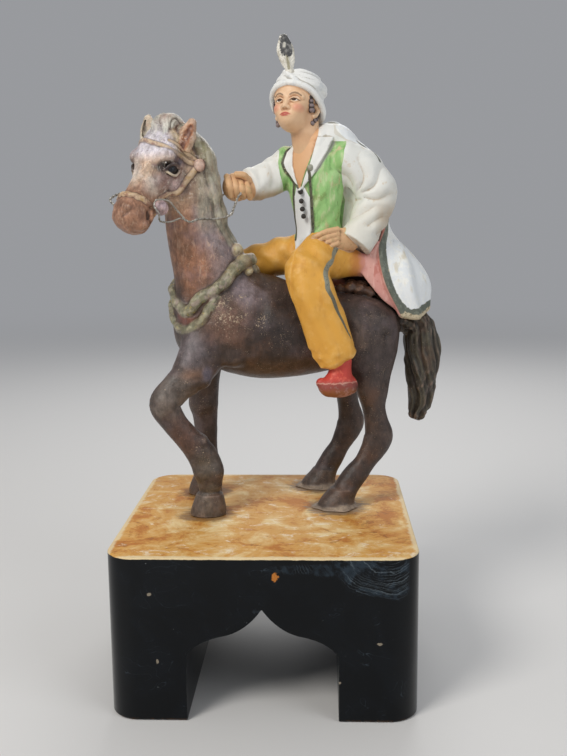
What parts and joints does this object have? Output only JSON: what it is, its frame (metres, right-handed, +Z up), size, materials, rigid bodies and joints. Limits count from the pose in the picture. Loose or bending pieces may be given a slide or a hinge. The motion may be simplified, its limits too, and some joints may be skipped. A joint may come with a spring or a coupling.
{
  "type": "horseman figurine on stand",
  "caption": "Painted terracotta rider in turban and open coat on a walking horse, set on a black wooden stand with a pointed arch cut through it.",
  "frame": {"origin": "centre of the bounding box at the underside of the stand", "axes": "+Z up, -Y towards the side that is looked at, with the arch's open front; the horse walks towards -X"},
  "size_m": [0.198, 0.165, 0.3679],
  "materials": {
    "stand_black_wood": "gloss black paint with scratches and chips; the top is painted as ochre ground",
    "horse_painted_terracotta": "satin brown paint, worn to pale speckles",
    "rider_painted_terracotta": "satin paint in white, green, ochre and red, with wear and chips",
    "rein_steel_wire": "dull twisted wire"
  },
  "bodies": {
    "root": {"stand": "stand_black_wood", "horse": "horse_painted_terracotta", "rider": "rider_painted_terracotta", "rein_wire": "rein_steel_wire"}
  },
  "joints": []
}
